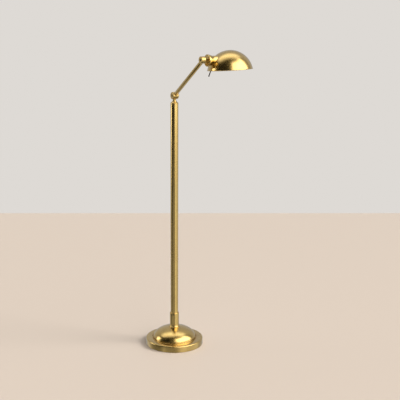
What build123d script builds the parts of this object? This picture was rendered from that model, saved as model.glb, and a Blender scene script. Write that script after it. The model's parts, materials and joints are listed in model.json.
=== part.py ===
from build123d import *
import os
from math import cos, radians, sin, sqrt

# Brass pharmacy floor lamp: a weighted round base, a straight pole, a slim arm between two
# barrel knuckles, and a spun half-dome shade on a horizontal socket.
# Millimetres. Origin at the centre of the underside, +Z up. +X is the way the arm leans,
# +Y is the way the hinge axes point, from the pole to the shade.

# ---- clearances ----
fit_gap = 0.06              # radial running clearance of pins and spigots
face_gap = 0.3              # gap between faces that turn against each other
slip_gap = 0.1              # gap between still parts that slide together
beyond = 1.0                # how far a cutting tool runs past the face it opens

# ---- base ----
base_radius = 127.0
spun_thick = 1.5            # wall of the spun base shells
plinth_height = 28.5        # top of the flat ring
plinth_edge = 4.0           # rounding of the plinth's upper edge
plinth_foot = 0.5           # the plinth's wall stops this far above the floor
groove_radius = 99.9        # shallow groove in the ring, where the dome cover stands
groove_depth = 1.6
groove_slope = 0.8
ledge_radius = 92.5         # inner edge of the ring, hidden under the cover
bead_radius = 98.5          # thin bead at the foot of the dome cover
bead_section = 1.35
dome_radius = 94.5
dome_rise = 49.0            # half height of the elliptical dome cover
dome_lift = 1.0             # foot of the dome above the flat ring
crown_margin = 6.0          # flat crown beyond the collar's ring
pad_thick = 2.0
pad_inset = 6.0             # felt pad short of the base's edge
plate_thick = 1.5
weight_radius = 117.0
weight_thick = 15.0
nut_pocket_radius = 14.0    # round pocket under the weight for the tie rod's nut
nut_pocket_depth = 9.0
lead_channel = 12.0         # width and depth of the lead's way through the weight
plate_screw_ring = 90.0     # radius that the bottom plate's screws stand on
plate_screw_turns = (30, 150, 270)
plate_screw_radius = 1.9
plate_screw_head = 3.4
cord_hole_radius = 3.6
cord_hole_height = 11.0
gland_radius = 5.5
gland_flange = 7.3
gland_length = 8.0         # of the bore, from inside the wall to the plinth's face

# ---- tie rod ----
rod_radius = 4.8
rod_bore = 3.2
rod_foot = 5.0
rod_top = 118.0
rod_clearance = 0.4
plug_low = 84.0             # plug in the pole that the rod pulls on
plug_thick = 20.0
nut_flats = 17.0
nut_thick = 5.0
washer_radius = 12.5

# ---- collar and pole ----
collar_radius = 20.3
collar_ring_radius = 23.6
collar_ring_height = 6.5
collar_ring_band = 2.5      # upright edge of the ring, below its cove
collar_cove = 7.0
collar_top = 143.0
collar_chamfer = 0.9
set_screw_angle = -40.0     # round the pole from +X
set_screw_radius = 2.5
set_screw_drop = 6.5        # below the collar's top
pole_radius = 16.9
pole_wall = 1.2
pole_top = 1078.6
pole_band = 0.8             # upright edge of the pole's cap
cap_cove = 26.0             # radius of the hollow cone above it
cap_plug = 20.0             # how far the cap reaches into the pole
lead_radius = 2.6

# ---- lower knuckle ----
knuckle_height = 1110.0     # lower hinge axis
knuckle_radius = 15.5
knuckle_left = 12.0         # from the hinge plane to the flat end face
knuckle_right = 17.0        # from the hinge plane to the rounded end
knuckle_left_round = 2.4
knuckle_right_round = 8.0
neck_radius = 6.3
neck_height = 3.2           # plain neck between the cap and the knuckle
spigot_radius = 4.8
spigot_reach = 29.0         # below the pole's top
swivel_nut_flats = 14.0
swivel_nut_thick = 5.0
pin_radius = 2.5
pin_margin = 3.0            # the pin stops this far inside the barrel's ends
screw_head_radius = 4.7
screw_seat_radius = 5.0
screw_sink = 0.2
screw_slot = 1.0
screw_slot_depth = 1.2

# ---- arm ----
arm_length = 285.3          # hinge axis to hinge axis
arm_lean = 56.2             # degrees from upright
arm_radius = 8.3
arm_wall = 1.0
arm_neck_radius = 4.8
ferrule_length = 7.0        # from the arm tube's end to the upper barrel
ferrule_round = 3.5
tenon_length = 15.0         # reach of both ends inside the arm tube

# ---- upper knuckle and cup ----
head_radius = 14.5
head_left = 13.0
head_right = 7.0
head_left_round = 2.0
head_right_round = 3.0
head_roll = -2.3            # degrees about the upper hinge axis
cup_drop = 2.4              # axis of stub, cup and lampholder below the hinge axis
stub_radius = 8.0
cup_back = 17.5             # from the hinge plane to the back of the cup
cup_radius = 24.4
cup_edge = 1.6              # bevel round the cup's back
cup_taper = 26.0            # from there to where the cup is as narrow as its mouth
cup_mouth_radius = 18.4
cup_end = 71.0              # beyond the place where the shade cuts the cup off
cup_wall = 1.4

# ---- shade ----
shade_radius = 93.5         # sphere of the shade
shade_wall = 1.2
shade_reach = 126.0         # hinge plane to the sphere's centre
shade_drop = 56.2           # hinge axis down to the sphere's centre
shade_rim = 16.4            # rim plane above the sphere's centre
shade_cant = 2.2            # degrees, outer side up
rim_lip = 1.8               # how far the rolled rim stands out
rim_thick = 1.8

# ---- lampholder and bulb, measured along their axis from the hinge plane ----
nipple_radius = 4.6
socket_radius = 16.9
socket_wall = 0.7
socket_back = 1.2
socket_start = 30.0
socket_end = 84.0
insulator_radius = 16.1
insulator_start = 39.0
insulator_pocket = 50.0
insulator_bore = 13.4
screw_shell_wall = 0.4
contact_radius = 2.9
fixing_ring_radius = 20.5
fixing_ring_span = (76.0, 82.0)
bulb_radius = 16.0
bulb_end = 170.0
bulb_wall = 1.0
bulb_cap_radius = 12.85
bulb_shoulder = 9.0

# ---- switch under the socket, measured from the lampholder's axis ----
switch_x = -9.0
switch_y = 49.5
switch_drop = 20.5
housing_size = (13.0, 15.0, 9.0)
housing_slot = (6.4, 9.0, 12.0)
housing_neck = (13.0, 8.0, 6.0)
switch_pin_radius = 1.25
lever_hub_radius = 3.0
lever_hub_width = 5.6
lever_length = 44.8
lever_lean = 24.0           # degrees from hanging, tip towards the pole
lever_radius = 2.2
lever_tip_radius = 2.9

# ---- derived places ----
half_gap = face_gap / 2
weight_low = pad_thick + plate_thick
cap_top = knuckle_height - knuckle_radius - neck_height
pole_bore = pole_radius - pole_wall - fit_gap
arm_bore = arm_radius - arm_wall - fit_gap
arm_start = knuckle_radius + 0.4 + 4
arm_end = arm_length - head_radius - ferrule_length
arm_frame = Pos(0, 0, knuckle_height) * Rot(0, arm_lean, 0)
head_x = arm_length * sin(radians(arm_lean))
head_z = knuckle_height + arm_length * cos(radians(arm_lean))
head_frame = Pos(head_x, 0, head_z) * Rot(0, head_roll, 0)
holder_frame = head_frame * Pos(0, 0, -cup_drop)
shade_frame = head_frame * Pos(0, shade_reach, -shade_drop) * Rot(shade_cant, 0, 0)
lever_frame = holder_frame * Pos(switch_x, switch_y, -switch_drop) * Rot(-lever_lean, 0, 0)
dome_foot = plinth_height + dome_lift
dome_seat = dome_foot + dome_rise * sqrt(1 - (collar_ring_radius / dome_radius) ** 2)
parts = {}


def rod(radius, low, high):
    """Upright cylinder between two heights."""
    return Pos(0, 0, low) * Cylinder(radius, high - low, align=(Align.CENTER, Align.CENTER, Align.MIN))


def tube(outer, inner, low, high):
    return rod(outer, low, high) - rod(inner, low - beyond, high + beyond)


def along_y(shape):
    """Turns a shape built about +Z so that it runs along +Y."""
    return Rot(-90, 0, 0) * shape


def turned(outline):
    """Solid of revolution about Z of a closed outline drawn as (radius, height)."""
    return Rot(90, 0, 0) * revolve(make_face(outline), Axis.Y)


def hex_nut(across_flats, bore, low, thick):
    nut = extrude(RegularPolygon(across_flats / 2, 6, major_radius=False), thick)
    return Pos(0, 0, low) * nut - rod(bore, low - beyond, low + thick + beyond)


# ---- base ----
def make_plinth():
    """Rounded drum with a flat ring on top and a shallow groove where the dome cover stands."""
    top = plinth_height
    inner_top = top - spun_thick
    groove = top - groove_depth
    shoulder = base_radius - plinth_edge
    side = Line((base_radius, plinth_foot), (base_radius, top - plinth_edge))
    corner = RadiusArc((base_radius, top - plinth_edge), (shoulder, top), -plinth_edge)
    ring = Polyline(
        (shoulder, top),
        (groove_radius + groove_slope, top),
        (groove_radius, groove),
        (ledge_radius, groove),
        (ledge_radius, groove - spun_thick),
        (groove_radius + spun_thick, groove - spun_thick),
        (groove_radius + groove_slope + spun_thick, inner_top),
        (shoulder, inner_top),
    )
    inner = RadiusArc((shoulder, inner_top), (base_radius - spun_thick, top - plinth_edge),
                      plinth_edge - spun_thick)
    back = Polyline((base_radius - spun_thick, top - plinth_edge),
                    (base_radius - spun_thick, plinth_foot), (base_radius, plinth_foot))
    drum = turned(side + corner + ring + inner + back)
    hole = Cylinder(gland_radius + slip_gap, gland_length * 2)
    return drum - Pos(-base_radius, 0, cord_hole_height) * Rot(0, 90, 0) * hole


def make_dome():
    """Spun elliptical cover with a flat crown for the collar and a hole for the tie rod."""
    ball = Solid.make_sphere(1.0)
    outer = Pos(0, 0, dome_foot) * scale(ball, (dome_radius, dome_radius, dome_rise))
    hollow = (dome_radius - spun_thick, dome_radius - spun_thick, dome_rise - spun_thick)
    shell = outer - Pos(0, 0, dome_foot) * scale(ball, hollow)
    shell = shell & rod(base_radius, dome_foot, dome_seat)
    crown = rod(collar_ring_radius + crown_margin, dome_seat - spun_thick, dome_seat) & outer
    return shell + crown - rod(rod_radius + crown_margin / 5, dome_foot, dome_foot + dome_rise)


def make_gland():
    """Flanged bush for the lead in the plinth's wall, opposite the way the arm leans."""
    inside = base_radius - gland_length
    place = Pos(0, 0, cord_hole_height) * Rot(0, -90, 0)
    bush = place * rod(gland_radius, inside, base_radius + beyond) & rod(base_radius, 0, plinth_height)
    flange = place * rod(gland_flange, inside, base_radius)
    flange = flange & rod(base_radius - spun_thick - slip_gap, 0, plinth_height)
    return bush + flange - place * rod(cord_hole_radius, inside - beyond, base_radius + beyond)


def make_weight():
    """Iron disc with a pocket for the nut and a channel for the lead."""
    disc = tube(weight_radius, rod_radius + rod_clearance, weight_low, weight_low + weight_thick)
    pocket = rod(nut_pocket_radius, weight_low - beyond, weight_low + nut_pocket_depth)
    reach = weight_radius + beyond
    channel = Pos(-reach / 2, 0, weight_low) * Box(reach, lead_channel, lead_channel * 2)
    return disc - pocket - channel


def add_base():
    plate_radius = base_radius - spun_thick - slip_gap * 2
    parts["base_plinth"] = make_plinth()
    parts["dome_bead"] = Pos(0, 0, plinth_height - 0.2) * Torus(bead_radius - 1.6, bead_section)
    parts["base_dome"] = make_dome()
    parts["cord_gland"] = make_gland()
    parts["base_weight"] = make_weight()
    pad = tube(base_radius - pad_inset, nut_pocket_radius + 2, 0, pad_thick)
    plate = tube(plate_radius, nut_pocket_radius, pad_thick, weight_low)
    screw = rod(plate_screw_head, pad_thick / 2, pad_thick) + rod(plate_screw_radius, pad_thick, weight_low)
    screws = []
    for turn in plate_screw_turns:
        place = Rot(0, 0, turn) * Pos(plate_screw_ring, 0, 0)
        pad -= place * rod(plate_screw_head + beyond, -beyond, pad_thick + beyond)
        plate -= place * rod(plate_screw_radius + slip_gap, 0, weight_low + beyond)
        screws.append(place * screw)
    parts["floor_pad"] = pad
    parts["bottom_plate"] = plate
    parts["plate_screws"] = Compound(children=screws)


def add_tie_rod():
    """Hollow rod that clamps pole, collar, dome and weight together, and carries the lead."""
    nut_low = rod_foot + 0.5
    washer_low = nut_low + nut_thick
    plug_top = plug_low + plug_thick
    parts["tie_rod"] = tube(rod_radius, rod_bore, rod_foot, rod_top)
    parts["tie_nut"] = hex_nut(nut_flats, rod_radius, nut_low, nut_thick)
    parts["tie_washer"] = tube(washer_radius, rod_radius + slip_gap, washer_low, weight_low + nut_pocket_depth)
    parts["pole_plug"] = tube(pole_bore, rod_radius, plug_low, plug_top)
    parts["pole_nut"] = hex_nut(nut_flats, rod_radius, plug_top, nut_thick + 1)


# ---- collar and pole ----
def make_collar_ring():
    """Flared foot of the collar: an upright band and a cove up to the collar."""
    bore = pole_radius + slip_gap
    band_top = dome_seat + collar_ring_band
    top = dome_seat + collar_ring_height
    foot = Polyline((bore, dome_seat), (collar_ring_radius, dome_seat), (collar_ring_radius, band_top))
    cove = RadiusArc((collar_ring_radius, band_top), (collar_radius, top), collar_cove)
    rest = Polyline((collar_radius, top), (bore, top), (bore, dome_seat))
    return turned(foot + cove + rest)


def add_collar():
    sleeve = tube(collar_radius, pole_radius + slip_gap, dome_seat + collar_ring_height, collar_top)
    rims = sleeve.edges().filter_by(GeomType.CIRCLE).group_by(Axis.Z)[-1].sort_by(SortBy.RADIUS)
    sleeve = chamfer(rims[-1:], collar_chamfer)
    place = Rot(0, 0, set_screw_angle) * Pos(0, 0, collar_top - set_screw_drop) * Rot(0, 90, 0)
    screw = rod(set_screw_radius - fit_gap, pole_radius + slip_gap, collar_radius - 0.4)
    key = Pos(0, 0, collar_radius - 2.4) * extrude(RegularPolygon(set_screw_radius / 2, 6), set_screw_radius)
    parts["collar_ring"] = make_collar_ring()
    parts["pole_collar"] = sleeve - place * rod(set_screw_radius, 0, collar_radius * 2)
    parts["collar_set_screw"] = place * (screw - key)


def make_cap():
    """Plug in the pole's top with a hollow cone up to the neck, bored for the spigot."""
    bore = spigot_radius + fit_gap
    cone_foot = pole_top + pole_band
    cone_top = cap_top - pole_band
    low = pole_top - cap_plug
    body = Polyline((bore, low), (pole_bore, low), (pole_bore, pole_top), (pole_radius, pole_top),
                    (pole_radius, cone_foot))
    cone = RadiusArc((pole_radius, cone_foot), (neck_radius + 0.8, cone_top), cap_cove)
    rest = Polyline((neck_radius + 0.8, cone_top), (neck_radius + 0.4, cap_top), (bore, cap_top), (bore, low))
    return turned(body + cone + rest)


def add_pole():
    parts["pole_tube"] = tube(pole_radius, pole_radius - pole_wall, dome_seat + face_gap, pole_top)
    parts["pole_lead"] = rod(lead_radius, rod_top + 4, pole_top - spigot_reach - 5)
    parts["pole_cap"] = make_cap()


# ---- knuckles: each is two barrel halves on one pin ----
def barrel_half(radius, near, far, rounding):
    """Half barrel along Y from near to far, with its far edge rounded."""
    half = along_y(rod(radius, min(near, far), max(near, far)))
    edges = half.edges().filter_by(GeomType.CIRCLE).sort_by(Axis.Y)
    return fillet(edges[-1:] if far > near else edges[:1], rounding)


def left_half(radius, left, rounding):
    """Half with the screw's seat: solid to the left of the hinge plane."""
    seat = along_y(rod(screw_seat_radius, -left - beyond, pin_margin - left))
    hole = along_y(rod(pin_radius, -left - beyond, beyond))
    return barrel_half(radius, -half_gap, -left, rounding) - seat - hole


def right_half(radius, right, rounding):
    """Half with the pin's blind hole: solid to the right of the hinge plane."""
    hole = along_y(rod(pin_radius + fit_gap, -beyond, right - pin_margin + slip_gap))
    return barrel_half(radius, half_gap, right, rounding) - hole


def other_half(radius, y_low, y_high):
    """The room that the facing half turns in."""
    return along_y(rod(radius + 0.4, y_low, y_high))


def pivot_screw(left, right):
    """Pin with a slotted head sunk in the left face and a plain end inside the right half."""
    top = screw_sink - left
    slot = Pos(0, top, 0) * Box(screw_slot, screw_slot_depth * 2, screw_seat_radius * 2)
    head = along_y(rod(screw_head_radius, top, pin_margin - left)) - slot
    return head + along_y(rod(pin_radius, pin_margin - left, right - pin_margin))


def add_neck():
    """Lower knuckle's still half on a spigot that turns in the pole's cap."""
    stem = rod(neck_radius, cap_top + face_gap, knuckle_height - knuckle_radius / 2)
    stem -= Pos(0, 0, knuckle_height) * other_half(knuckle_radius, -half_gap, knuckle_right * 2)
    stem += rod(spigot_radius, pole_top - spigot_reach, cap_top + face_gap)
    bore = Pos(0, 0, knuckle_height) * along_y(rod(screw_seat_radius, -knuckle_left, pin_margin - knuckle_left))
    bore += Pos(0, 0, knuckle_height) * along_y(rod(pin_radius, -knuckle_left, beyond))
    barrel = Pos(0, 0, knuckle_height) * left_half(knuckle_radius, knuckle_left, knuckle_left_round)
    parts["neck_knuckle"] = barrel + (stem - bore)
    parts["neck_pivot_screw"] = Pos(0, 0, knuckle_height) * pivot_screw(knuckle_left, knuckle_right)
    nut_top = pole_top - cap_plug - 2
    parts["swivel_washer"] = tube(swivel_nut_flats * 0.64, spigot_radius, nut_top, nut_top + 2 - face_gap)
    parts["swivel_nut"] = hex_nut(swivel_nut_flats, spigot_radius, nut_top - swivel_nut_thick, swivel_nut_thick)


def make_ferrule():
    """Tenon in the arm tube, a rounded shoulder and the thin neck up to the upper barrel."""
    low = arm_end - tenon_length
    neck_low = arm_end + ferrule_round
    top = arm_length - head_radius / 2
    body = Polyline((0, low), (arm_bore, low), (arm_bore, arm_end), (arm_radius, arm_end))
    shoulder = RadiusArc((arm_radius, arm_end), (arm_neck_radius, neck_low), -ferrule_round)
    rest = Polyline((arm_neck_radius, neck_low), (arm_neck_radius, top), (0, top), (0, low))
    barrel_room = Pos(0, 0, arm_length) * along_y(rod(head_radius - 0.5, -head_left * 2, 0))
    facing_room = Pos(0, 0, arm_length) * other_half(head_radius, -half_gap, head_left * 2)
    return turned(body + shoulder + rest) - barrel_room - facing_room


def add_arm():
    root = rod(arm_radius, knuckle_radius / 3, arm_start) + rod(arm_bore, arm_start, arm_start + tenon_length)
    root -= other_half(knuckle_radius, -knuckle_left * 2, half_gap)
    root -= along_y(rod(pin_radius + fit_gap, 0, knuckle_right - pin_margin + slip_gap))
    barrel = right_half(knuckle_radius, knuckle_right, knuckle_right_round)
    parts["arm_knuckle"] = arm_frame * (barrel + root)
    parts["arm_tube"] = arm_frame * tube(arm_radius, arm_radius - arm_wall, arm_start, arm_end)
    parts["arm_lead"] = arm_frame * rod(lead_radius, arm_start + tenon_length + 2, arm_end - tenon_length - 2)
    top_barrel = Pos(0, 0, arm_length) * left_half(head_radius, head_left, head_left_round)
    parts["arm_top_knuckle"] = arm_frame * (top_barrel + make_ferrule())
    parts["head_pivot_screw"] = arm_frame * Pos(0, 0, arm_length) * pivot_screw(head_left, head_right)


# ---- head: half knuckle and stub, then cup, lampholder and bulb about one axis ----
def cup_outline(inset):
    """Flat back with a bevelled edge, then a taper to the mouth, moved inwards by the wall."""
    back = cup_back + inset
    edge = cup_back + cup_edge
    radius = cup_radius - inset
    mouth = cup_mouth_radius - inset
    narrow = edge + cup_taper
    waist = (radius * 0.92, edge + cup_taper * 0.42)
    side = Spline((radius, edge), waist, (mouth, narrow), tangents=[(0, 1), (0, 1)])
    corner = (radius - cup_edge + inset, back)
    face = Polyline((mouth, narrow), (mouth, cup_end), (0, cup_end), (0, back), corner, (radius, edge))
    return turned(side + face)


def make_cup():
    """Cup that ends where it meets the outside of the shade."""
    ball = Pos(0, shade_reach, cup_drop - shade_drop) * Sphere(shade_radius + face_gap)
    bell = along_y(cup_outline(0) - cup_outline(cup_wall) - rod(nipple_radius, 0, socket_start)) - ball
    return max(bell.solids(), key=lambda piece: piece.volume)


def bulb_outline(radius, inset):
    """Tubular bulb: a short shoulder, a straight tube and a round end."""
    low = socket_end + 3
    end = bulb_end - bulb_radius
    shoulder = Cone(bulb_cap_radius - inset, radius, bulb_shoulder, align=(Align.CENTER, Align.CENTER, Align.MIN))
    return Pos(0, 0, low) * shoulder + rod(radius, low + bulb_shoulder, end) + Pos(0, 0, end) * Sphere(radius)


def add_head():
    half = right_half(head_radius, head_right, head_right_round)
    stub = Pos(0, 0, -cup_drop) * along_y(rod(stub_radius, head_right - beyond, cup_back))
    parts["head_knuckle"] = head_frame * (half + stub)
    parts["head_nipple"] = holder_frame * along_y(rod(nipple_radius, cup_back, socket_start + 6))
    parts["socket_cup"] = holder_frame * make_cup()


def add_lampholder():
    inner = socket_start + socket_back
    screw_start = insulator_pocket + 2
    cap_start = screw_start + 1
    shell = tube(socket_radius, socket_radius - socket_wall, socket_start, socket_end)
    shell += tube(socket_radius, nipple_radius + fit_gap, socket_start, inner)
    body = rod(insulator_radius, insulator_start, socket_end - 2) - rod(contact_radius, 0, insulator_pocket)
    body -= rod(insulator_bore, insulator_pocket, socket_end)
    screw_radius = insulator_bore - fit_gap
    cap = rod(bulb_cap_radius, cap_start + 4, socket_end + 3) + rod(nipple_radius, cap_start, cap_start + 4)
    glass = bulb_outline(bulb_radius, 0) - bulb_outline(bulb_radius - bulb_wall, bulb_wall)
    for name, piece in {
        "socket_shell": shell,
        "nipple_nut": hex_nut(swivel_nut_flats, nipple_radius, inner, 4),
        "socket_insulator": body,
        "screw_shell": tube(screw_radius, screw_radius - screw_shell_wall, screw_start, socket_end - 3),
        "centre_contact": rod(contact_radius - fit_gap, insulator_pocket - 3, cap_start - 0.2),
        "fixing_ring": tube(fixing_ring_radius, socket_radius + slip_gap, *fixing_ring_span),
        "bulb_cap": cap,
        "bulb_glass": glass,
    }.items():
        parts[name] = holder_frame * along_y(piece)


# ---- shade ----
def add_shade():
    """Spun half dome with a rolled rim, cut where the cup's mouth lets the socket through."""
    rim_radius = sqrt(shade_radius ** 2 - shade_rim ** 2)
    dome = Sphere(shade_radius) - Sphere(shade_radius - shade_wall)
    dome &= rod(shade_radius + beyond, shade_rim, shade_radius + beyond)
    lip = tube(rim_radius + rim_lip, rim_radius - shade_wall, shade_rim - rim_thick, shade_rim)
    socket_way = along_y(rod(cup_mouth_radius - fit_gap * 6, socket_start, shade_reach))
    socket_way = Rot(-shade_cant, 0, 0) * Pos(0, -shade_reach, shade_drop - cup_drop) * socket_way
    parts["shade_dome"] = shade_frame * (dome - socket_way + lip)


# ---- switch ----
def add_switch():
    """Small housing under the socket with a lever that hangs out below the rim."""
    width, length, height = housing_size
    socket_room = along_y(rod(socket_radius + fit_gap, socket_start, shade_reach))
    box = Pos(switch_x, switch_y + 3.5, -switch_drop) * Box(width, length, height)
    box += Pos(switch_x, switch_y + 7, -switch_drop + height / 2) * Box(*housing_neck)
    box -= Pos(switch_x, switch_y, -switch_drop - beyond) * Box(*housing_slot)
    pin_place = Pos(switch_x, switch_y, -switch_drop) * Rot(0, 90, 0)
    pin_hole = pin_place * Cylinder(switch_pin_radius, width * 2)
    parts["switch_housing"] = holder_frame * (box - socket_room - pin_hole)
    parts["switch_pin"] = holder_frame * pin_place * Cylinder(switch_pin_radius, width)
    hub = Rot(0, 90, 0) * Cylinder(lever_hub_radius, lever_hub_width)
    lever = hub + rod(lever_radius, pin_margin - lever_length, -beyond)
    lever -= Rot(0, 90, 0) * Cylinder(switch_pin_radius + fit_gap, width)
    tip = Pos(0, 0, -lever_length) * Sphere(lever_tip_radius)
    parts["switch_lever"] = lever_frame * lever
    parts["lever_tip"] = lever_frame * (tip - rod(lever_radius, pin_margin - lever_length, 0))


add_base()
add_tie_rod()
add_collar()
add_pole()
add_neck()
add_arm()
add_head()
add_lampholder()
add_shade()
add_switch()

os.makedirs("parts", exist_ok=True)
for name, shape in parts.items():
    export_step(shape, f"parts/{name}.step")
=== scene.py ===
import json
import math

import bmesh
import bpy
from mathutils import Matrix, Vector


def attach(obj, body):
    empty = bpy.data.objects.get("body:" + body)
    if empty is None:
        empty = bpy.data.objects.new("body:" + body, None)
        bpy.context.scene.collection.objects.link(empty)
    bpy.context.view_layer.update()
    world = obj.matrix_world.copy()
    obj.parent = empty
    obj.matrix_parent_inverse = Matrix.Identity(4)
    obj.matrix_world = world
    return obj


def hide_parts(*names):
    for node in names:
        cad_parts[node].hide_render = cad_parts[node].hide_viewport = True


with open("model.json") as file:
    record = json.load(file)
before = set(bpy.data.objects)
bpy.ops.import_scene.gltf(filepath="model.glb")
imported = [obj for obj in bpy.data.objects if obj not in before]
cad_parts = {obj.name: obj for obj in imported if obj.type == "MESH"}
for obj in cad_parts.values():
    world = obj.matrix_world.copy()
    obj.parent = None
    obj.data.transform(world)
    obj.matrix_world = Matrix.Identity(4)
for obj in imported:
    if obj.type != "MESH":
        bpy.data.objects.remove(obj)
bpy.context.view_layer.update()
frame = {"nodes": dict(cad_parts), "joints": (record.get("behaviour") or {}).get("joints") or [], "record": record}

# Brass floor lamp: round weighted base, straight pole, slim arm between two barrel knuckles and a
# spun half-dome shade. Metres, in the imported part's frame: +Z up, +X the way the arm leans,
# +Y from the pole to the shade.

MM = 0.001
joints = {joint["name"]: joint for joint in frame["joints"]}
lower_pivot = Vector(joints["arm_hinge"]["pos_m"])
upper_pivot = Vector(joints["head_turn"]["pos_m"])
switch_pivot = Vector(joints["switch_tilt"]["pos_m"])

# ---- camera ----
CAMERA_AZIMUTH = math.radians(61.3)
CAMERA_DISTANCE = 3.60          # along the floor from the pole
CAMERA_HEIGHT = 1.426
CAMERA_PITCH = math.radians(12.06)
CAMERA_LENS = 76.05
CAMERA_SHIFT = 0.064

right = Vector((math.cos(CAMERA_AZIMUTH), math.sin(CAMERA_AZIMUTH), 0))
towards = Vector((math.sin(CAMERA_AZIMUTH), -math.cos(CAMERA_AZIMUTH), 0))
up = Vector((0, 0, 1))


def make_camera():
    data = bpy.data.cameras.new("camera")
    data.lens = CAMERA_LENS
    data.shift_x = CAMERA_SHIFT
    camera = bpy.data.objects.new("camera", data)
    camera.location = towards * CAMERA_DISTANCE + up * CAMERA_HEIGHT
    look = -towards * math.cos(CAMERA_PITCH) - up * math.sin(CAMERA_PITCH)
    camera.rotation_mode = "QUATERNION"
    camera.rotation_quaternion = look.to_track_quat("-Z", "Y")
    bpy.context.scene.collection.objects.link(camera)
    bpy.context.scene.camera = camera


# ---- node trees ----
def calc(tree, operation, *values):
    """A Math node; each value is a number or a socket. Returns its output socket."""
    node = tree.nodes.new("ShaderNodeMath")
    node.operation = operation
    for socket, value in zip(node.inputs, values):
        if isinstance(value, bpy.types.NodeSocket):
            tree.links.new(value, socket)
        else:
            socket.default_value = value
    return node.outputs[0]


def remap(tree, value, start, end, low=0.0, high=1.0):
    """Smooth step from low to high while value goes from start to end."""
    node = tree.nodes.new("ShaderNodeMapRange")
    node.interpolation_type = "SMOOTHSTEP"
    tree.links.new(value, node.inputs["Value"])
    for name, number in zip(("From Min", "From Max", "To Min", "To Max"), (start, end, low, high)):
        node.inputs[name].default_value = number
    return node.outputs["Result"]


def blend_colours(tree, factor, first, second):
    """Mix of two plain colours by a factor socket."""
    node = tree.nodes.new("ShaderNodeMix")
    node.data_type = "RGBA"
    tree.links.new(factor, node.inputs[0])
    colour_inputs = [socket for socket in node.inputs if socket.type == "RGBA"]
    for socket, colour in zip(colour_inputs, (first, second)):
        socket.default_value = (*colour, 1)
    return next(socket for socket in node.outputs if socket.type == "RGBA")


def noise(tree, vector, scale, detail=4.0, roughness=0.55):
    node = tree.nodes.new("ShaderNodeTexNoise")
    node.inputs["Scale"].default_value = scale
    node.inputs["Detail"].default_value = detail
    node.inputs["Roughness"].default_value = roughness
    tree.links.new(vector, node.inputs["Vector"])
    return node.outputs["Fac"]


def join_axes(tree, *sockets):
    node = tree.nodes.new("ShaderNodeCombineXYZ")
    for target, socket in zip(node.inputs, sockets):
        tree.links.new(socket, target)
    return node.outputs[0]


def split_axes(tree, vector):
    node = tree.nodes.new("ShaderNodeSeparateXYZ")
    tree.links.new(vector, node.inputs[0])
    return node.outputs


# ---- room light: a sky of soft panels, fixed in the room ----
PALE_WALL = (0.73, 0.70, 0.665)
DARK_ROOM = 0.008
BEHIND_LIGHT = 0.42             # the room beyond the lamp
LIGHT_TINT = (1.0, 0.985, 0.95)

# strength, then azimuth of the middle, half width, lowest, highest and soft edge in degrees;
# azimuth 0 is the side where the photographer stands, 90 is to the right
PANELS = (
    (3.1, (54, 45, 5, 58, 10)),        # window at the right
    (0.66, (66, 46, -38, 2, 14)),      # bright floor under it
    (3.3, (-98, 9, -4, 28, 6)),        # tall narrow window at the left
    (0.28, (0, 50, -60, -4, 8)),       # floor in front
    (0.20, (-85, 47, -34, -13, 7)),    # floor at the left
    (0.04, (0, 200, -100, -27, 6)),    # floor close to the lamp
)

# a wide bright ceiling, measured by where a ray meets a level plane one unit up: middle and half
# width to the right, far and near end towards the photographer, soft edge
CEILING = (-0.2, 0.8, -0.5, 0.12, 0.25)
CEILING_LIGHT = 1.2
LOWEST_RAY = 0.05               # rays lower than this are taken as this high


def patch(tree, across, upwards, centre, half_width, low, high, soft):
    """1 inside a patch of the sky and 0 outside it, with a soft edge."""
    side = calc(tree, "ABSOLUTE", calc(tree, "SUBTRACT", across, centre))
    inside = remap(tree, side, half_width + soft, half_width - soft)
    above = remap(tree, upwards, low - soft, low + soft)
    below = remap(tree, upwards, high + soft, high - soft)
    return calc(tree, "MULTIPLY", calc(tree, "MULTIPLY", inside, above), below)


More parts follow.
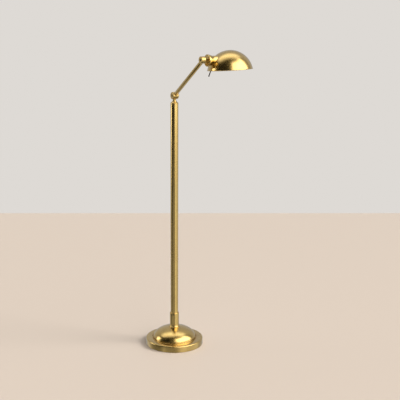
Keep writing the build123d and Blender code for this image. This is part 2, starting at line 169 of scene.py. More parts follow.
def make_world():
    """Lights the lamp with the panels, the ceiling and the room behind; the camera sees a plain wall."""
    world = bpy.data.worlds.new("studio")
    bpy.context.scene.world = world
    world.use_nodes = True
    tree = world.node_tree
    tree.nodes.clear()
    direction = tree.nodes.new("ShaderNodeTexCoord").outputs["Generated"]

    def along(axis):
        node = tree.nodes.new("ShaderNodeVectorMath")
        node.operation = "DOT_PRODUCT"
        tree.links.new(direction, node.inputs[0])
        node.inputs[1].default_value = axis
        return node.outputs["Value"]

    degrees = 180 / math.pi
    sideways, near, height = along(right), along(towards), along(up)
    azimuth = calc(tree, "MULTIPLY", calc(tree, "ARCTAN2", sideways, near), degrees)
    elevation = calc(tree, "MULTIPLY", calc(tree, "ARCSINE", height), degrees)

    behind = remap(tree, calc(tree, "ABSOLUTE", azimuth), 90, 135)
    light = calc(tree, "ADD", DARK_ROOM, calc(tree, "MULTIPLY", behind, BEHIND_LIGHT))
    for strength, shape in PANELS:
        lit = patch(tree, azimuth, elevation, *shape)
        light = calc(tree, "ADD", light, calc(tree, "MULTIPLY", lit, strength))
    level = calc(tree, "MAXIMUM", height, LOWEST_RAY)
    ceiling = patch(tree, calc(tree, "DIVIDE", sideways, level), calc(tree, "DIVIDE", near, level), *CEILING)
    light = calc(tree, "ADD", light, calc(tree, "MULTIPLY", ceiling, CEILING_LIGHT))

    tint = tree.nodes.new("ShaderNodeCombineColor")
    for socket, share in zip(tint.inputs[:3], LIGHT_TINT):
        tree.links.new(calc(tree, "MULTIPLY", light, share), socket)
    lighting = tree.nodes.new("ShaderNodeBackground")
    tree.links.new(tint.outputs[0], lighting.inputs["Color"])
    backdrop = tree.nodes.new("ShaderNodeBackground")
    backdrop.inputs["Color"].default_value = (*PALE_WALL, 1)
    seen = tree.nodes.new("ShaderNodeLightPath").outputs["Is Camera Ray"]
    mix = tree.nodes.new("ShaderNodeMixShader")
    tree.links.new(seen, mix.inputs[0])
    tree.links.new(lighting.outputs[0], mix.inputs[1])
    tree.links.new(backdrop.outputs[0], mix.inputs[2])
    output = tree.nodes.new("ShaderNodeOutputWorld")
    tree.links.new(mix.outputs[0], output.inputs["Surface"])


# ---- materials ----
BRASS_TONES = (0.79, 0.55, 0.165), (0.63, 0.41, 0.11)
LACQUER_ROUGHNESS = 0.16
LACQUER_IOR = 1.55


def new_material(name):
    """The material, its tree, its shader and the place on the piece as a socket."""
    material = bpy.data.materials.new(name)
    material.use_nodes = True
    tree = material.node_tree
    shader = tree.nodes["Principled BSDF"]
    place = tree.nodes.new("ShaderNodeTexCoord").outputs["Object"]
    return material, tree, shader, place


def add_bump(tree, shader, height, distance):
    bump = tree.nodes.new("ShaderNodeBump")
    bump.inputs["Distance"].default_value = distance
    bump.inputs["Strength"].default_value = 1.0
    tree.links.new(height, bump.inputs["Height"])
    tree.links.new(bump.outputs["Normal"], shader.inputs["Normal"])


def turning_lines(tree, place):
    """Fine lines left by spinning or polishing round the piece's own Z axis."""
    across, around = 1600, 2.5
    x, y, z = split_axes(tree, place)
    radius = calc(tree, "SQRT", calc(tree, "ADD", calc(tree, "MULTIPLY", x, x), calc(tree, "MULTIPLY", y, y)))
    angle = calc(tree, "ARCTAN2", y, x)
    vector = join_axes(tree, calc(tree, "MULTIPLY", radius, across), calc(tree, "MULTIPLY", z, across),
                       calc(tree, "MULTIPLY", angle, around))
    return noise(tree, vector, 1.0, 3.0, 0.65)


def long_lines(tree, place):
    """Fine lines left by drawing or polishing along the piece's own Z axis."""
    node = tree.nodes.new("ShaderNodeMapping")
    node.inputs["Scale"].default_value = (1500, 1500, 10)
    tree.links.new(place, node.inputs["Vector"])
    return noise(tree, node.outputs["Vector"], 1.0, 3.0, 0.7)


def make_brass(name, smooth_rough, dull_rough, lines_of, grain_depth):
    """Aged, lacquered brass: cloudy tarnish, small dull spots, and polishing lines given by lines_of."""
    material, tree, shader, place = new_material(name)
    cloud = noise(tree, place, 11.0, 5.0, 0.6)
    mottle = noise(tree, place, 150.0, 3.0, 0.6)
    tarnish = remap(tree, calc(tree, "ADD", cloud, calc(tree, "MULTIPLY", mottle, 0.35)), 0.5, 0.95)
    spots = remap(tree, noise(tree, place, 420.0, 2.0, 0.5), 0.68, 0.78)
    worn = calc(tree, "MAXIMUM", tarnish, calc(tree, "MULTIPLY", spots, 0.7))
    tree.links.new(blend_colours(tree, worn, *BRASS_TONES), shader.inputs["Base Color"])
    lines = lines_of(tree, place)
    rough = calc(tree, "ADD", remap(tree, worn, 0.0, 1.0, smooth_rough, dull_rough),
                 calc(tree, "MULTIPLY", calc(tree, "SUBTRACT", lines, 0.5), 0.1))
    tree.links.new(rough, shader.inputs["Roughness"])
    shader.inputs["Metallic"].default_value = 1.0
    shader.inputs["Coat Weight"].default_value = 1.0
    shader.inputs["Coat Roughness"].default_value = LACQUER_ROUGHNESS
    shader.inputs["Coat IOR"].default_value = LACQUER_IOR
    add_bump(tree, shader, lines, grain_depth)
    return material


def make_plain(name, tone, rough, metallic, fine_scale, depth, variation=0.25):
    """Simple material with a slight mottle and grain."""
    material, tree, shader, place = new_material(name)
    fine = noise(tree, place, fine_scale, 4.0)
    dark = tuple(channel * (1 - variation) for channel in tone)
    tree.links.new(blend_colours(tree, fine, dark, tone), shader.inputs["Base Color"])
    tree.links.new(remap(tree, fine, 0.3, 0.7, rough - 0.06, rough + 0.06), shader.inputs["Roughness"])
    shader.inputs["Metallic"].default_value = metallic
    add_bump(tree, shader, fine, depth)
    return material


def make_glass():
    """Frosted glass of the bulb."""
    material, tree, shader, place = new_material("bulb_glass")
    shader.inputs["Base Color"].default_value = (0.93, 0.92, 0.88, 1)
    shader.inputs["Transmission Weight"].default_value = 0.55
    tree.links.new(remap(tree, noise(tree, place, 300.0), 0.3, 0.7, 0.3, 0.42), shader.inputs["Roughness"])
    return material


def make_materials():
    """All the slots' materials by name, in place of those that came with the part."""
    for imported in list(bpy.data.materials):
        bpy.data.materials.remove(imported)
    made = [
        make_brass("polished_brass", 0.2, 0.29, turning_lines, 0.0000022),
        make_brass("satin_brass", 0.2, 0.32, long_lines, 0.000004),
        make_plain("dark_brass", (0.022, 0.015, 0.009), 0.35, 1.0, 400, 0.00002),
        make_plain("zinc_steel", (0.55, 0.55, 0.52), 0.38, 1.0, 260, 0.00002),
        make_plain("socket_brass", (0.72, 0.56, 0.26), 0.25, 1.0, 120, 0.00001),
        make_plain("cast_iron", (0.06, 0.06, 0.06), 0.7, 0.3, 220, 0.0003),
        make_plain("felt", (0.035, 0.035, 0.03), 0.95, 0.0, 1600, 0.0003, 0.5),
        make_plain("black_plastic", (0.02, 0.02, 0.02), 0.45, 0.0, 700, 0.00002),
        make_plain("bulb_cap", (0.7, 0.7, 0.68), 0.3, 1.0, 200, 0.00001),
        make_glass(),
    ]
    return {material.name: material for material in made}


materials = make_materials()


def dress_cad_nodes():
    """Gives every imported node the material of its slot."""
    for part in frame["record"]["subparts"]:
        mesh = frame["nodes"][part["node"]].data
        mesh.materials.clear()
        mesh.materials.append(materials[part["material_slot"]])


# ---- local frames of the moving groups ----
def frame_at(origin, x_axis, y_axis, z_axis):
    """Local frame with its origin and its three axes."""
    matrix = Matrix((x_axis, y_axis, z_axis)).transposed().to_4x4()
    matrix.translation = origin
    return matrix


def turned_about_x(matrix, degrees):
    return matrix @ Matrix.Rotation(math.radians(degrees), 4, "X")


SHADE_CANT = 2.2                # degrees, outer side up
CUP_DROP = 2.4 * MM             # cup and lampholder below the hinge axis
LEVER_LEAN = 24.0               # degrees from hanging, tip towards the pole

side_axis = Vector((0, 1, 0))
ground = Matrix.Identity(4)
arm_axis = (upper_pivot - lower_pivot).normalized()
arm_length = (upper_pivot - lower_pivot).length
arm_frame = frame_at(lower_pivot, side_axis.cross(arm_axis), side_axis, arm_axis)
head_x = Vector(joints["switch_tilt"]["axis"]).normalized()
head_frame = frame_at(upper_pivot, head_x, side_axis, head_x.cross(side_axis))
head_axis_frame = turned_about_x(head_frame, -90)
holder_frame = turned_about_x(head_frame @ Matrix.Translation((0, 0, -CUP_DROP)), -90)
lower_axis_frame = turned_about_x(arm_frame, -90)
upper_axis_frame = turned_about_x(arm_frame @ Matrix.Translation((0, 0, arm_length)), -90)
lever_frame = turned_about_x(frame_at(switch_pivot, head_x, side_axis, head_x.cross(side_axis)), -LEVER_LEAN)


def span(node, matrix=ground):
    """Lowest and highest corner of a CAD node in a local frame."""
    inverse = matrix.inverted()
    points = [inverse @ vertex.co for vertex in frame["nodes"][node].data.vertices]
    low = Vector([min(point[axis] for point in points) for axis in range(3)])
    high = Vector([max(point[axis] for point in points) for axis in range(3)])
    return low, high


def reach(node, matrix=ground):
    """Outer radius about the local Z axis, lowest and highest place along it."""
    low, high = span(node, matrix)
    return (high.x - low.x) / 2, low.z, high.z


# ---- mesh work ----
STEPS = 144                     # facets round a lathe-turned piece
SHADE_STEPS = 192
SMALL_STEPS = 64
CORNER_STEPS = 5                # steps that round off a corner
ON_AXIS = 1e-6                  # a radius below this makes a single point
SHARP = math.radians(34)        # edges sharper than this stay crisp


def rounded(corners):
    """Closed outline from (radius, height, rounding) corners; a rounding above 0 becomes an arc."""
    outline = []
    count = len(corners)
    for index, (x, y, rounding) in enumerate(corners):
        here = Vector((x, y))
        if not rounding:
            outline.append(here)
            continue
        before = Vector(corners[index - 1][:2]) - here
        after = Vector(corners[(index + 1) % count][:2]) - here
        half = before.angle(after) / 2
        cut = min(rounding / math.tan(half), before.length * 0.49, after.length * 0.49)
        start, end = here + before.normalized() * cut, here + after.normalized() * cut
        middle = here + (before.normalized() + after.normalized()).normalized() * cut / math.cos(half)
        outline += arc_between(middle, start, end)
    return outline


def shares(steps):
    """Even steps from 0 to 1, both ends included."""
    return [step / steps for step in range(steps + 1)]


def arc_between(middle, start, end):
    """Points of the arc from start to end about middle."""
    first, last = start - middle, end - middle
    turn = first.angle(last)
    return [middle + (first * math.sin(turn * (1 - share)) + last * math.sin(turn * share)) / math.sin(turn)
            for share in shares(CORNER_STEPS)]


def ellipse(middle, width, height, start, end, steps):
    """Points of an ellipse's arc; angles in degrees from the radius axis."""
    angles = [math.radians(start + (end - start) * step / steps) for step in range(steps + 1)]
    return [Vector((width * math.cos(angle), middle + height * math.sin(angle))) for angle in angles]


def lathe(name, matrix, outline, steps=STEPS):
    """Solid of revolution about the frame's Z axis of a closed outline of (radius, height)."""
    shape = bmesh.new()
    rings = []
    for radius, height in outline:
        turns = [2 * math.pi * step / steps for step in range(steps)] if radius > ON_AXIS else [0]
        rings.append([shape.verts.new((radius * math.cos(turn), radius * math.sin(turn), height))
                      for turn in turns])
    for first, second in zip(rings, rings[1:] + rings[:1]):
        for step in range(steps):
            following = (step + 1) % steps
            corners = list(dict.fromkeys([
                first[step % len(first)], first[following % len(first)],
                second[following % len(second)], second[step % len(second)]]))
            if len(corners) > 2:
                shape.faces.new(corners)
    bmesh.ops.recalc_face_normals(shape, faces=shape.faces)
    mesh = bpy.data.meshes.new(name)
    shape.to_mesh(mesh)
    shape.free()
    piece = bpy.data.objects.new(name, mesh)
    piece.matrix_world = matrix
    bpy.context.scene.collection.objects.link(piece)
    return piece


def block(matrix, size):
    """Plain box, used only as a cutting tool."""
    shape = bmesh.new()
    bmesh.ops.create_cube(shape, size=1.0, matrix=Matrix.Diagonal((*size, 1)))
    mesh = bpy.data.meshes.new("tool")
    shape.to_mesh(mesh)
    shape.free()
    tool = bpy.data.objects.new("tool", mesh)
    tool.matrix_world = matrix
    bpy.context.scene.collection.objects.link(tool)
    return tool


def combine(piece, tool, operation):
    """Boolean of a piece with a tool, which is then removed."""
    modifier = piece.modifiers.new("combine", "BOOLEAN")
    modifier.object = tool
    modifier.operation = operation
    modifier.solver = "EXACT"
    bpy.context.view_layer.update()
    graph = bpy.context.evaluated_depsgraph_get()
    mesh = bpy.data.meshes.new_from_object(piece.evaluated_get(graph))
    piece.modifiers.clear()
    piece.data = mesh
    bpy.data.objects.remove(tool)
    return piece


def finish_piece(piece, body, slot, *nodes):
    """Smooth shading with crisp edges, the slot's material, the body it rides on, what it stands for."""
    mesh = piece.data
    mesh.shade_smooth()
    mesh.set_sharp_from_angle(angle=SHARP)
    mesh.materials.clear()
    mesh.materials.append(materials[slot])
    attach(piece, body)
    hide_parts(*nodes)


def cylinder(matrix, radius, low, high, steps=STEPS):
    """Plain round tool about the frame's Z axis."""
    corners = (0, low), (radius, low), (radius, high), (0, high)
    return lathe("tool", matrix, [Vector(corner) for corner in corners], steps)


# ---- base ----
WALL = 1.5 * MM                 # spun brass
GROOVE_DEPTH = 1.6 * MM         # ledge round the dome below the plinth's top
DOME_RISE = 49 * MM             # the dome's ellipse, from its foot to its top
DOME_CROWN = 23.6 * MM          # radius of the flat seat under the collar
DOME_HOLE = 7.5 * MM
INLET_RADIUS = 5.6 * MM         # hole in the plinth round the cord's bush
INLET_REACH = 6 * MM


def make_plinth():
    """Low round plinth with a ledge for the dome and a hole for the cord's bush."""
    radius, foot, top = reach("base_plinth")
    groove = reach("dome_bead")[0] + 1.6 * MM
    inner = reach("base_dome")[0] - 2 * MM
    ledge = top - GROOVE_DEPTH
    piece = lathe("plinth", ground, rounded([
        (radius, foot, 0.5 * MM), (radius, top, 4.0 * MM), (groove + 0.8 * MM, top, 0.5 * MM),
        (groove, ledge, 0.4 * MM), (inner, ledge, 0), (inner, ledge - WALL, 0),
        (groove + WALL, ledge - WALL, 0), (groove + 2 * WALL, top - WALL, 0),
        (radius - WALL, top - WALL, 2.5 * MM), (radius - WALL, foot, 0)]))
    low, high = span("cord_gland")
    place = Matrix.Translation((-radius, 0, (low.z + high.z) / 2)) @ Matrix.Rotation(math.pi / 2, 4, "Y")
    combine(piece, cylinder(place, INLET_RADIUS, -INLET_REACH, INLET_REACH), "DIFFERENCE")
    finish_piece(piece, "stand", "polished_brass", "base_plinth")


def make_bead():
    """Round bead at the dome's foot."""
    radius, low, high = reach("dome_bead")
    half = (high - low) / 2
    outline = [Vector((radius - half + half * math.cos(turn), low + half + half * math.sin(turn)))
               for turn in (math.radians(30 * step) for step in range(12))]
    finish_piece(lathe("dome_bead_ring", ground, outline), "stand", "polished_brass", "dome_bead")


def make_dome():
    """Spun cover over the weight."""
    radius, foot, seat = reach("base_dome")
    end = math.degrees(math.acos(DOME_CROWN / radius))
    outer = ellipse(foot, radius, DOME_RISE, 0, end, 40)
    inner = ellipse(foot, radius - WALL, DOME_RISE - WALL, end, 0, 40)
    outline = outer + [Vector((DOME_HOLE, seat)), Vector((DOME_HOLE, seat - WALL))] + inner
    finish_piece(lathe("dome_cover", ground, outline), "stand", "polished_brass", "base_dome")


def make_collar():
    """Flared foot ring, then a sleeve with one turned line and a hole for its set screw."""
    ring_radius, low, high = reach("collar_ring")
    radius, _, top = reach("pole_collar")
    bore = reach("pole_tube")[0] + 0.1 * MM
    band = 2.5 * MM
    cove = [Vector((ring_radius, low + band)) + Vector((radius - ring_radius, high - low - band)) * share
            - Vector((1, 0.35)) * math.sin(math.pi * share) * 0.8 * MM
            for share in shares(8)]
    bevel = 0.3 * MM
    ring = [Vector((bore, low)), Vector((ring_radius - bevel, low)), Vector((ring_radius, low + bevel))]
    outline = ring + cove + [Vector((bore, high))]
    finish_piece(lathe("collar_foot", ground, outline), "stand", "polished_brass", "collar_ring")
    groove, depth = 0.5 * MM, 0.35 * MM
    line = high + 2.2 * MM
    sleeve = lathe("collar_sleeve", ground, rounded([
        (bore, high, 0), (radius, high, 0.3 * MM), (radius, line - groove, 0.1 * MM),
        (radius - depth, line, 0), (radius, line + groove, 0.1 * MM),
        (radius, top, 1.1 * MM), (bore + 0.4 * MM, top, 0.3 * MM),
        (bore, top - 0.5 * MM, 0)]))
    screw_low, screw_high = span("collar_set_screw")
    middle = (screw_low + screw_high) / 2
    outwards = Vector((middle.x, middle.y, 0)).to_track_quat("Z", "Y").to_matrix().to_4x4()
    tool = cylinder(Matrix.Translation((0, 0, middle.z)) @ outwards, 2.5 * MM, 5 * MM, 40 * MM, 48)
    finish_piece(combine(sleeve, tool, "DIFFERENCE"), "stand", "satin_brass", "pole_collar")


def make_pole():
    """Straight tube and the slightly hollow cone of its cap, with a fine seam between them."""
    radius, low, top = reach("pole_tube")
    wall = 1.2 * MM
    seam = 0.15 * MM
    finish_piece(lathe("pole_barrel", ground, rounded([
        (radius - wall, low, 0), (radius, low, 0), (radius, top, seam), (radius - wall, top, 0)])),
        "stand", "satin_brass", "pole_tube")
    _, cap_low, cap_top = reach("pole_cap")
    neck = 7.1 * MM
    bore = 4.86 * MM
    plug = radius - wall - 0.06 * MM
    foot = top + 0.8 * MM
    head = cap_top - 0.8 * MM
    cone = []
    for share in shares(12):
        sink = math.sin(math.pi * share) * 1.0 * MM
        cone.append(Vector((radius + (neck - radius) * share - sink * 0.75,
                            foot + (head - foot) * share - sink * 0.65)))
    outline = [Vector((bore, cap_low)), Vector((plug, cap_low)), Vector((plug, top)),
               Vector((radius - seam, top)), Vector((radius, top + seam))] + cone
    outline += [Vector((neck - 0.4 * MM, cap_top)), Vector((bore, cap_top))]
    finish_piece(lathe("pole_cone", ground, outline), "stand", "polished_brass", "pole_cap")


# ---- arm ----
def make_arm():
    """Straight tube between the two knuckles."""
    radius, low, high = reach("arm_tube", arm_frame)
    wall = 1.0 * MM
    finish_piece(lathe("arm_barrel", arm_frame, rounded([
        (radius - wall, low, 0), (radius, low, 0.2 * MM),
        (radius, high, 0.2 * MM), (radius - wall, high, 0)])), "arm", "satin_brass", "arm_tube")


# ---- shade ----
SHADE_RADIUS = 93.5 * MM
SHADE_CENTRE = Vector((0, 126.0, -56.2)) * MM
SHADE_RIM = 16.4 * MM           # rim plane above the sphere's centre
SHADE_WALL = 1.2 * MM
CUP_MOUTH = 18.4 * MM
CUP_WALL = 1.4 * MM

shade_frame = turned_about_x(head_frame @ Matrix.Translation(SHADE_CENTRE), SHADE_CANT)


def make_shade():
    """Spun half dome: outside, a rolled rim, and the inside."""
    edge = math.degrees(math.asin(SHADE_RIM / SHADE_RADIUS))
    rim_radius = SHADE_RADIUS * math.cos(math.radians(edge))
    roll = 0.9 * MM
    outer = ellipse(0, SHADE_RADIUS, SHADE_RADIUS, 90, edge + 0.4, 64)
    outer[0].x = 0
    middle = Vector((rim_radius + 0.85 * MM, SHADE_RIM - roll))
    lip = [middle + Vector((math.cos(turn), math.sin(turn))) * roll
           for turn in (math.radians(110 - 24 * step) for step in range(11))]
    inner_radius = SHADE_RADIUS - SHADE_WALL
    inner_edge = math.degrees(math.asin(SHADE_RIM / inner_radius))
    inner = ellipse(0, inner_radius, inner_radius, inner_edge - 0.3, 90, 64)
    inner[-1].x = 0
    piece = lathe("shade_shell", shade_frame, outer + lip + inner, SHADE_STEPS)
    way = cylinder(holder_frame, CUP_MOUTH - 0.4 * MM, 25 * MM, SHADE_CENTRE.y)
    finish_piece(combine(piece, way, "DIFFERENCE"), "head", "polished_brass", "shade_dome")


# ---- knuckles: two barrel halves turned about one pin ----
PIN = 2.5 * MM
PIN_MARGIN = 3.0 * MM           # the pin stops this far inside the barrel's ends
PIN_ROOM = 0.2 * MM             # beyond the pin's end
HALF_GAP = 0.1 * MM             # from the hinge plane to the face of a half
FACE_EDGE = 0.4 * MM            # rounding beside the hinge plane
SEAT = 5.0 * MM                 # radius of the hole that the screw's head sinks in
ROOM = 0.4 * MM                 # round the facing half
FAR = 60 * MM                   # beyond every stem
HEAD_END = 7.0 * MM             # from the hinge plane to the end of the head's half
SCREW_HEAD = 4.7 * MM
SCREW_SLOT = (1 * MM, 3 * SCREW_HEAD, 2.4 * MM)
SCREW_TURN = math.radians(35)

# radii of the stems
SPIGOT = 4.8 * MM               # in the pole's cap
NECK = 6.3 * MM                 # above the pole's cap
FERRULE = 8.3 * MM              # at both ends of the arm tube
TENON = 7.2 * MM                # inside the arm tube
ARM_NECK = 4.8 * MM             # between the arm tube and the upper knuckle
STUB = 8.0 * MM                 # behind the cup


def left_half(name, matrix, radius, end, rounding):
    """Half with the screw's seat in its flat end."""
    seat_floor = PIN_MARGIN - end
    return lathe(name, matrix, rounded([
        (PIN, -HALF_GAP, 0), (radius, -HALF_GAP, FACE_EDGE), (radius, -end, rounding),
        (SEAT, -end, 0.3 * MM), (SEAT, seat_floor, 0), (PIN, seat_floor, 0)]))


def right_half(name, matrix, radius, end, rounding):
    """Half with a closed, rounded end."""
    hole_end = end - PIN_MARGIN + PIN_ROOM
    return lathe(name, matrix, rounded([
        (PIN, HALF_GAP, 0), (radius, HALF_GAP, FACE_EDGE), (radius, end, rounding), (0, end, 0),
        (0, hole_end, 0), (PIN, hole_end, 0)]))


def with_stem(half, stem, matrix, radius, side):
    """Joins a stem to a half, cut back to leave room for the facing half and the pin."""
    facing = sorted((side * HALF_GAP, -side * FAR))
    combine(stem, cylinder(matrix, radius + ROOM, *facing), "DIFFERENCE")
    combine(stem, cylinder(matrix, SEAT, -FAR, FAR), "DIFFERENCE")
    return combine(half, stem, "UNION")


def make_lower_knuckle():
    """The neck in the pole's cap, the arm's root, and the screw that joins their barrels."""
    radius = span("arm_knuckle", lower_axis_frame)[1].x
    left_end = -span("neck_knuckle", lower_axis_frame)[0].z
    foot = span("neck_knuckle")[0].z
    cap_top = reach("pole_cap")[2]
    top = lower_pivot.z - radius / 2
    stem = lathe("stem", ground, rounded([
        (0, foot, 0), (SPIGOT, foot, 0), (SPIGOT, cap_top, 0), (NECK, cap_top + 0.1 * MM, 0.3 * MM),
        (NECK, top, 0), (0, top, 0)]))
    half = left_half("neck_half", lower_axis_frame, radius, left_end, 2.4 * MM)
    finish_piece(with_stem(half, stem, lower_axis_frame, radius, -1), "neck", "polished_brass",
                 "neck_knuckle")
    right_end = span("arm_knuckle", lower_axis_frame)[1].z
    tube_low = reach("arm_tube", arm_frame)[1]
    tenon_top = reach("arm_knuckle", arm_frame)[2]
    root = lathe("stem", arm_frame, rounded([
        (0, radius / 3, 0), (FERRULE, radius / 3, 0), (FERRULE, tube_low, 0.3 * MM),
        (TENON, tube_low, 0), (TENON, tenon_top, 0), (0, tenon_top, 0)]))
    half = right_half("arm_half", lower_axis_frame, radius, right_end, 8.0 * MM)
    finish_piece(with_stem(half, root, lower_axis_frame, radius, 1), "arm", "polished_brass", "arm_knuckle")
    make_screw("neck_screw", lower_axis_frame, left_end, right_end, "neck", "neck_pivot_screw")


def make_upper_knuckle():
    """The arm's top, the head's stub, and the screw that joins their barrels."""
    left_end = -span("arm_top_knuckle", upper_axis_frame)[0].z
    radius = span("head_knuckle", head_axis_frame)[1].x
    tenon_low = reach("arm_top_knuckle", arm_frame)[1]
    tube_top = reach("arm_tube", arm_frame)[2]
    top = arm_length - radius / 2
    ferrule = lathe("stem", arm_frame, rounded([
        (0, tenon_low, 0), (TENON, tenon_low, 0), (TENON, tube_top, 0), (FERRULE, tube_top, 0.3 * MM),
        (FERRULE, tube_top + 3.4 * MM, 3.0 * MM), (ARM_NECK, tube_top + 3.5 * MM, 0.8 * MM),
        (ARM_NECK, top, 0), (0, top, 0)]))
    half = left_half("arm_top_half", upper_axis_frame, radius, left_end, 2.0 * MM)
    finish_piece(with_stem(half, ferrule, upper_axis_frame, radius, -1), "arm", "polished_brass",
                 "arm_top_knuckle")
    near = HEAD_END / 2
    end = reach("socket_cup", holder_frame)[1] + 2 * MM
    stub = lathe("stem", holder_frame, rounded([(0, near, 0), (STUB, near, 0), (STUB, end, 0), (0, end, 0)]))
    half = right_half("head_half", head_axis_frame, radius, HEAD_END, 3.0 * MM)
    finish_piece(combine(half, stub, "UNION"), "head", "polished_brass", "head_knuckle")
    make_screw("head_screw", upper_axis_frame, left_end, HEAD_END, "arm", "head_pivot_screw")


def make_screw(name, matrix, left_end, right_end, body, node):
    """Pin with a slightly domed, slotted head."""
    face = 0.2 * MM - left_end
    shoulder = PIN_MARGIN - left_end
    pin_end = right_end - PIN_MARGIN
    dome = 0.35 * MM
    pin = PIN - 0.05 * MM
    screw = lathe(name, matrix, rounded([
        (0, face, 0), (SCREW_HEAD * 0.6, face + dome * 0.3, 1 * MM), (SCREW_HEAD, face + dome, 0.3 * MM),
        (SCREW_HEAD, shoulder, 0), (pin, shoulder, 0), (pin, pin_end, 0), (0, pin_end, 0)]), SMALL_STEPS)
    place = matrix @ Matrix.Translation((0, 0, face)) @ Matrix.Rotation(SCREW_TURN, 4, "Z")
    slot = block(place, SCREW_SLOT)
    finish_piece(combine(screw, slot, "DIFFERENCE"), body, "dark_brass", node)


# ---- cup ----
def make_cup():
    """Dished back, rounded edge and a taper down to the lampholder, cut to the shade."""
    radius, back, _ = reach("socket_cup", holder_frame)
    boss = 7.6 * MM
    bore = 4.7 * MM
    edge = 1.6 * MM
    taper = 26 * MM
    dish = 0.9 * MM
    rim = radius - edge
    outer = [Vector((boss, back + dish)), Vector((rim - 3.2 * MM, back + dish))]
    outer += [Vector((rim - edge * (1 - share), back + dish * (1 - share) ** 2)) for share in (0, 0.5, 1)]
    outer += [Vector((rim + edge * math.sin(turn), back + edge * (1 - math.cos(turn))))
              for turn in (math.radians(15 * step) for step in range(1, 7))]
    for share in shares(18)[1:]:
        ease = share * share * (3 - 2 * share)
        outer.append(Vector((radius + (CUP_MOUTH - radius) * ease, back + edge + taper * share)))
    end = 70 * MM
    outer.append(Vector((CUP_MOUTH, end)))
    inner = [Vector((CUP_MOUTH - CUP_WALL, end)), Vector((CUP_MOUTH - CUP_WALL, back + taper)),
             Vector((radius - 2 * CUP_WALL, back + edge + CUP_WALL)),
             Vector((bore, back + dish + CUP_WALL)), Vector((bore, back + dish))]
    piece = lathe("cup_bell", holder_frame, outer + inner)
    size = SHADE_RADIUS + 0.2 * MM
    ball = lathe("tool", shade_frame, ellipse(0, size, size, 90, -90, 64), SHADE_STEPS)
    finish_piece(combine(piece, ball, "DIFFERENCE"), "head", "polished_brass", "socket_cup")


# ---- lampholder ----
def make_lampholder():
    """Shell with four turned grooves, and the ring that holds the shade on it."""
    radius, low, high = reach("socket_shell", holder_frame)
    wall = 1.0 * MM
    bore = 5.0 * MM
    groove = 0.45 * MM
    inside = low + 3 * MM
    outer = [(bore, low, 0), (radius, low, 1.2 * MM)]
    for place in (0.45, 0.5, 0.86, 0.9):
        middle = low + (high - low) * place
        outer += [(radius, middle - groove, 0), (radius - groove, middle, 0.1 * MM),
                  (radius, middle + groove, 0)]
    outer += [(radius, high, 0.3 * MM), (radius - wall, high, 0.3 * MM),
              (radius - wall, inside, 0), (bore, inside, 0)]
    finish_piece(lathe("holder_shell", holder_frame, rounded(outer)), "head", "socket_brass", "socket_shell")
    ring_radius, ring_low, ring_high = reach("fixing_ring", holder_frame)
    ring_bore = radius + 0.25 * MM
    finish_piece(lathe("ring_of_shade", holder_frame, rounded([
        (ring_bore, ring_low, 0.2 * MM), (ring_radius, ring_low, 0.5 * MM),
        (ring_radius, ring_high, 0.5 * MM), (ring_bore, ring_high, 0.2 * MM)])),
        "head", "socket_brass", "fixing_ring")


# ---- switch lever ----
LEVER_RADIUS = 2.2 * MM


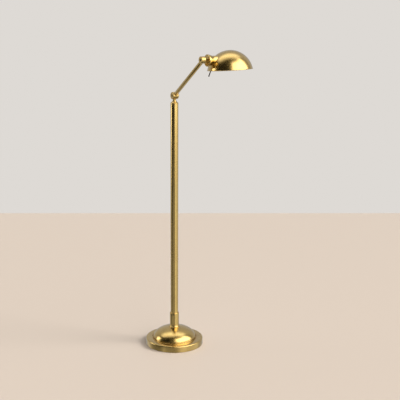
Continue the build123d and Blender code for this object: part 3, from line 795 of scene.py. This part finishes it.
def make_lever():
    """Hub on the switch's pin and a slim rod, a little thinner at both ends, with a round tip."""
    tip_radius, tip_low, tip_high = reach("lever_tip", lever_frame)
    low, high = span("switch_lever", lever_frame)
    pin_low, pin_high = span("switch_pin")
    hole = (pin_high.y - pin_low.y) / 2 + 0.1 * MM
    hub_frame = lever_frame @ Matrix.Rotation(math.pi / 2, 4, "Y")
    hub = lathe("lever_rod", hub_frame, rounded([
        (hole, low.x, 0), (high.z, low.x, 0.3 * MM), (high.z, high.x, 0.3 * MM),
        (hole, high.x, 0)]), SMALL_STEPS)
    foot = tip_low + tip_radius
    top = -hole - 0.3 * MM
    shank = [Vector((LEVER_RADIUS * (0.86 + 0.14 * math.sin(math.pi * share)), top + (foot - top) * share))
             for share in shares(12)]
    rod = lathe("stem", lever_frame, [Vector((0, top))] + shank + [Vector((0, foot))], 48)
    finish_piece(combine(hub, rod, "UNION"), "switch", "dark_brass", "switch_lever")
    ball = ellipse(foot, tip_radius, (tip_high - tip_low) / 2, 90, -90, 24)
    finish_piece(lathe("lever_ball", lever_frame, ball, SMALL_STEPS), "switch", "dark_brass", "lever_tip")


# ---- floor and its light ----
FLOOR_HALF = 2.6
FLOOR_TONE = (0.545, 0.465, 0.40)
SUN_STRENGTH = 2.3
SUN_SIZE = math.radians(22)
SUN_TINT = (1.0, 0.97, 0.93)
SUN_ACROSS = math.radians(80)   # from the camera's side to the right
SUN_ABOVE = math.radians(38)


def make_floor():
    """Pale floor whose edges are square to the camera. Brass mirrors the room's own floor instead."""
    corners = [right * FLOOR_HALF * x + towards * FLOOR_HALF * y
               for x, y in ((-1, -1), (1, -1), (1, 1), (-1, 1))]
    mesh = bpy.data.meshes.new("floor")
    mesh.from_pydata([tuple(corner) for corner in corners], [], [(0, 1, 2, 3)])
    material, _, shader, _ = new_material("pale_floor")
    shader.inputs["Base Color"].default_value = (*FLOOR_TONE, 1)
    shader.inputs["Roughness"].default_value = 0.55
    mesh.materials.append(material)
    floor = bpy.data.objects.new("floor", mesh)
    floor.visible_glossy = False
    bpy.context.scene.collection.objects.link(floor)


def make_sun():
    """Low soft light from the right. It lights the floor and leaves the brass to the room's panels."""
    light = bpy.data.lights.new("low_sun", "SUN")
    light.energy = SUN_STRENGTH
    light.angle = SUN_SIZE
    light.color = SUN_TINT
    sun = bpy.data.objects.new("low_sun", light)
    level = right * math.sin(SUN_ACROSS) + towards * math.cos(SUN_ACROSS)
    source = level * math.cos(SUN_ABOVE) + up * math.sin(SUN_ABOVE)
    sun.rotation_euler = source.to_track_quat("Z", "Y").to_euler()
    sun.visible_glossy = False
    bpy.context.scene.collection.objects.link(sun)


bpy.context.scene.view_settings.view_transform = "Standard"
make_camera()
make_world()
dress_cad_nodes()
make_sun()
make_floor()
make_plinth()
make_bead()
make_dome()
make_collar()
make_pole()
make_arm()
make_lower_knuckle()
make_upper_knuckle()
make_shade()
make_cup()
make_lampholder()
make_lever()
